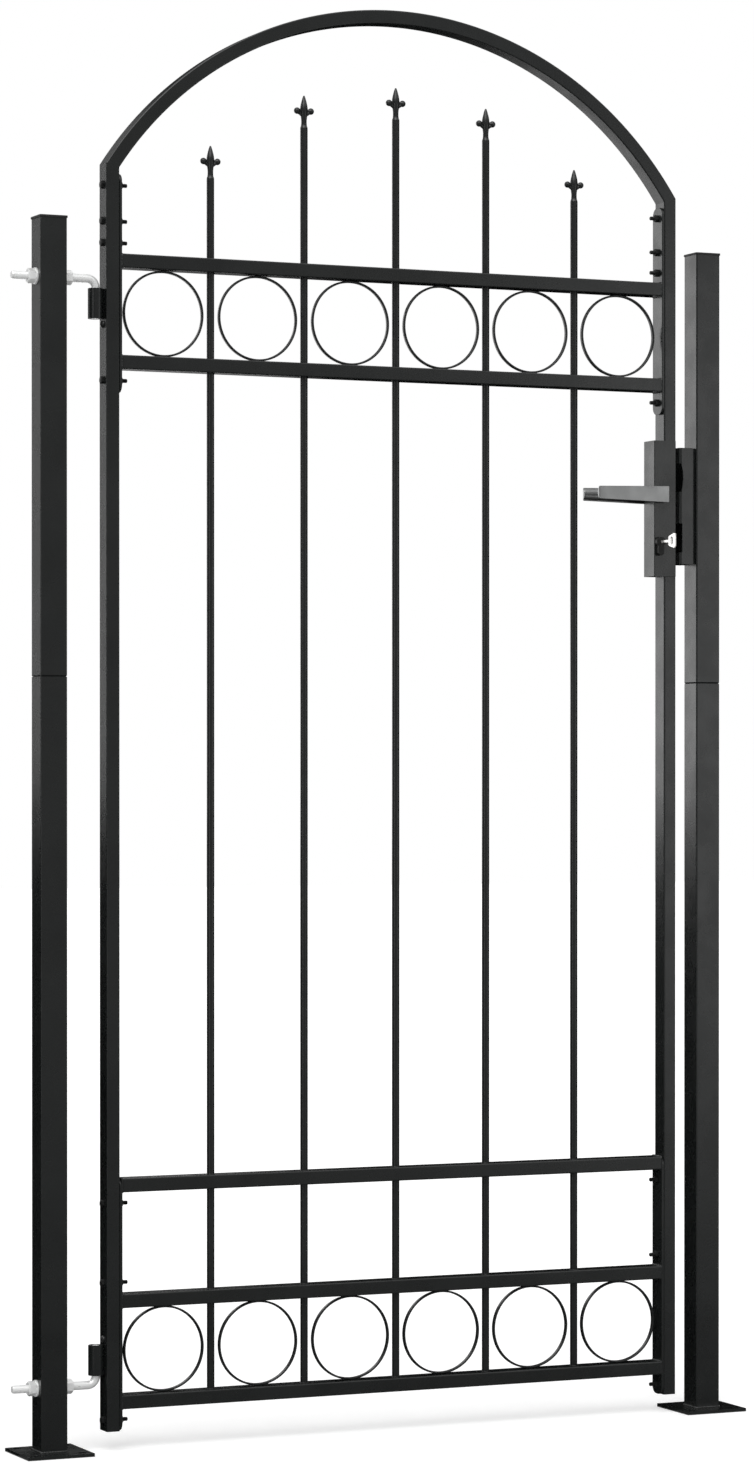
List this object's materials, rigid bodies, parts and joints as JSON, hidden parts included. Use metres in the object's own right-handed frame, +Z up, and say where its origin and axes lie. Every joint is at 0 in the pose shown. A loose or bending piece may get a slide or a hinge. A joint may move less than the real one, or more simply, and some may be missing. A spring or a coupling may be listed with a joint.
{
  "type": "arched steel garden gate with posts",
  "caption": "Arched steel garden gate with spear-topped round bars and rows of rings, hung between square posts on barrel hinges, with a lever lock, key and keep.",
  "frame": {"origin": "centre of the underside of the hinge post's base plate, at ground level", "axes": "+X along the closed gate from the hinge post to the latch post, +Y through the gate towards the back, +Z up"},
  "size_m": [1.1635, 0.119, 2.0935],
  "materials": {
    "black_powder_coat": "satin black powder coat",
    "black_plastic": "matt black moulded plastic",
    "zinc_plate": "bright zinc plating",
    "lock_steel": "satin steel",
    "blackened_steel": "blackened steel",
    "nickel": "polished nickel plate",
    "grey_lever": "satin grey lacquer on cast aluminium"
  },
  "bodies": {
    "posts": {"hinge_post_base": "black_powder_coat", "hinge_post_lower": "black_powder_coat", "hinge_post_upper": "black_powder_coat", "hinge_post_cap": "black_plastic", "latch_post_base": "black_powder_coat", "latch_post_lower": "black_powder_coat", "latch_post_upper": "black_powder_coat", "latch_post_cap": "black_plastic", "upper_hinge_bolt": "zinc_plate", "upper_hinge_nuts": "zinc_plate", "lower_hinge_bolt": "zinc_plate", "lower_hinge_nuts": "zinc_plate", "latch_keep": "black_powder_coat"},
    "leaf": {"hinge_stile": "black_powder_coat", "lock_stile_upper": "black_powder_coat", "lock_stile_lower": "black_powder_coat", "arch_top": "black_powder_coat", "hinge_side_upper_flat": "black_powder_coat", "hinge_side_lower_flat": "black_powder_coat", "lock_side_upper_flat": "black_powder_coat", "lock_side_lower_flat": "black_powder_coat", "top_rail": "black_powder_coat", "upper_ring_rail": "black_powder_coat", "middle_rail": "black_powder_coat", "lower_ring_rail": "black_powder_coat", "bottom_rail": "black_powder_coat", "spear_bar_1": "black_powder_coat", "spear_bar_2": "black_powder_coat", "spear_bar_3": "black_powder_coat", "spear_bar_4": "black_powder_coat", "spear_bar_5": "black_powder_coat", "spear_points": "black_powder_coat", "upper_rings": "black_powder_coat", "lower_rings": "black_powder_coat", "upper_hinge_barrel": "black_powder_coat", "lower_hinge_barrel": "black_powder_coat", "lock_case": "black_powder_coat", "lock_faceplate": "lock_steel", "lock_bolts": "lock_steel", "lock_cylinder": "blackened_steel"},
    "key": {"cylinder_plug": "blackened_steel", "key": "nickel"},
    "handle": {"front_handle": "grey_lever", "rear_handle": "grey_lever", "handle_spindle": "lock_steel"}
  },
  "joints": [
    {"name": "leaf_hinge", "type": "hinge", "parent": "posts", "child": "leaf", "pos_m": [0.07, 0, 0.9], "axis": [0, 0, 1], "range_deg": [-90, 90]},
    {"name": "handle_turn", "type": "hinge", "parent": "leaf", "child": "handle", "pos_m": [0.9735, 0, 1.3935], "axis": [0, -1, 0], "range_deg": [0, 45], "stiffness_Nm_per_rad": 1.2, "springref_deg": -22.92},
    {"name": "key_turn", "type": "hinge", "parent": "leaf", "child": "key", "pos_m": [0.9735, 0, 1.3215], "axis": [0, -1, 0], "range_deg": [0, 360]}
  ]
}
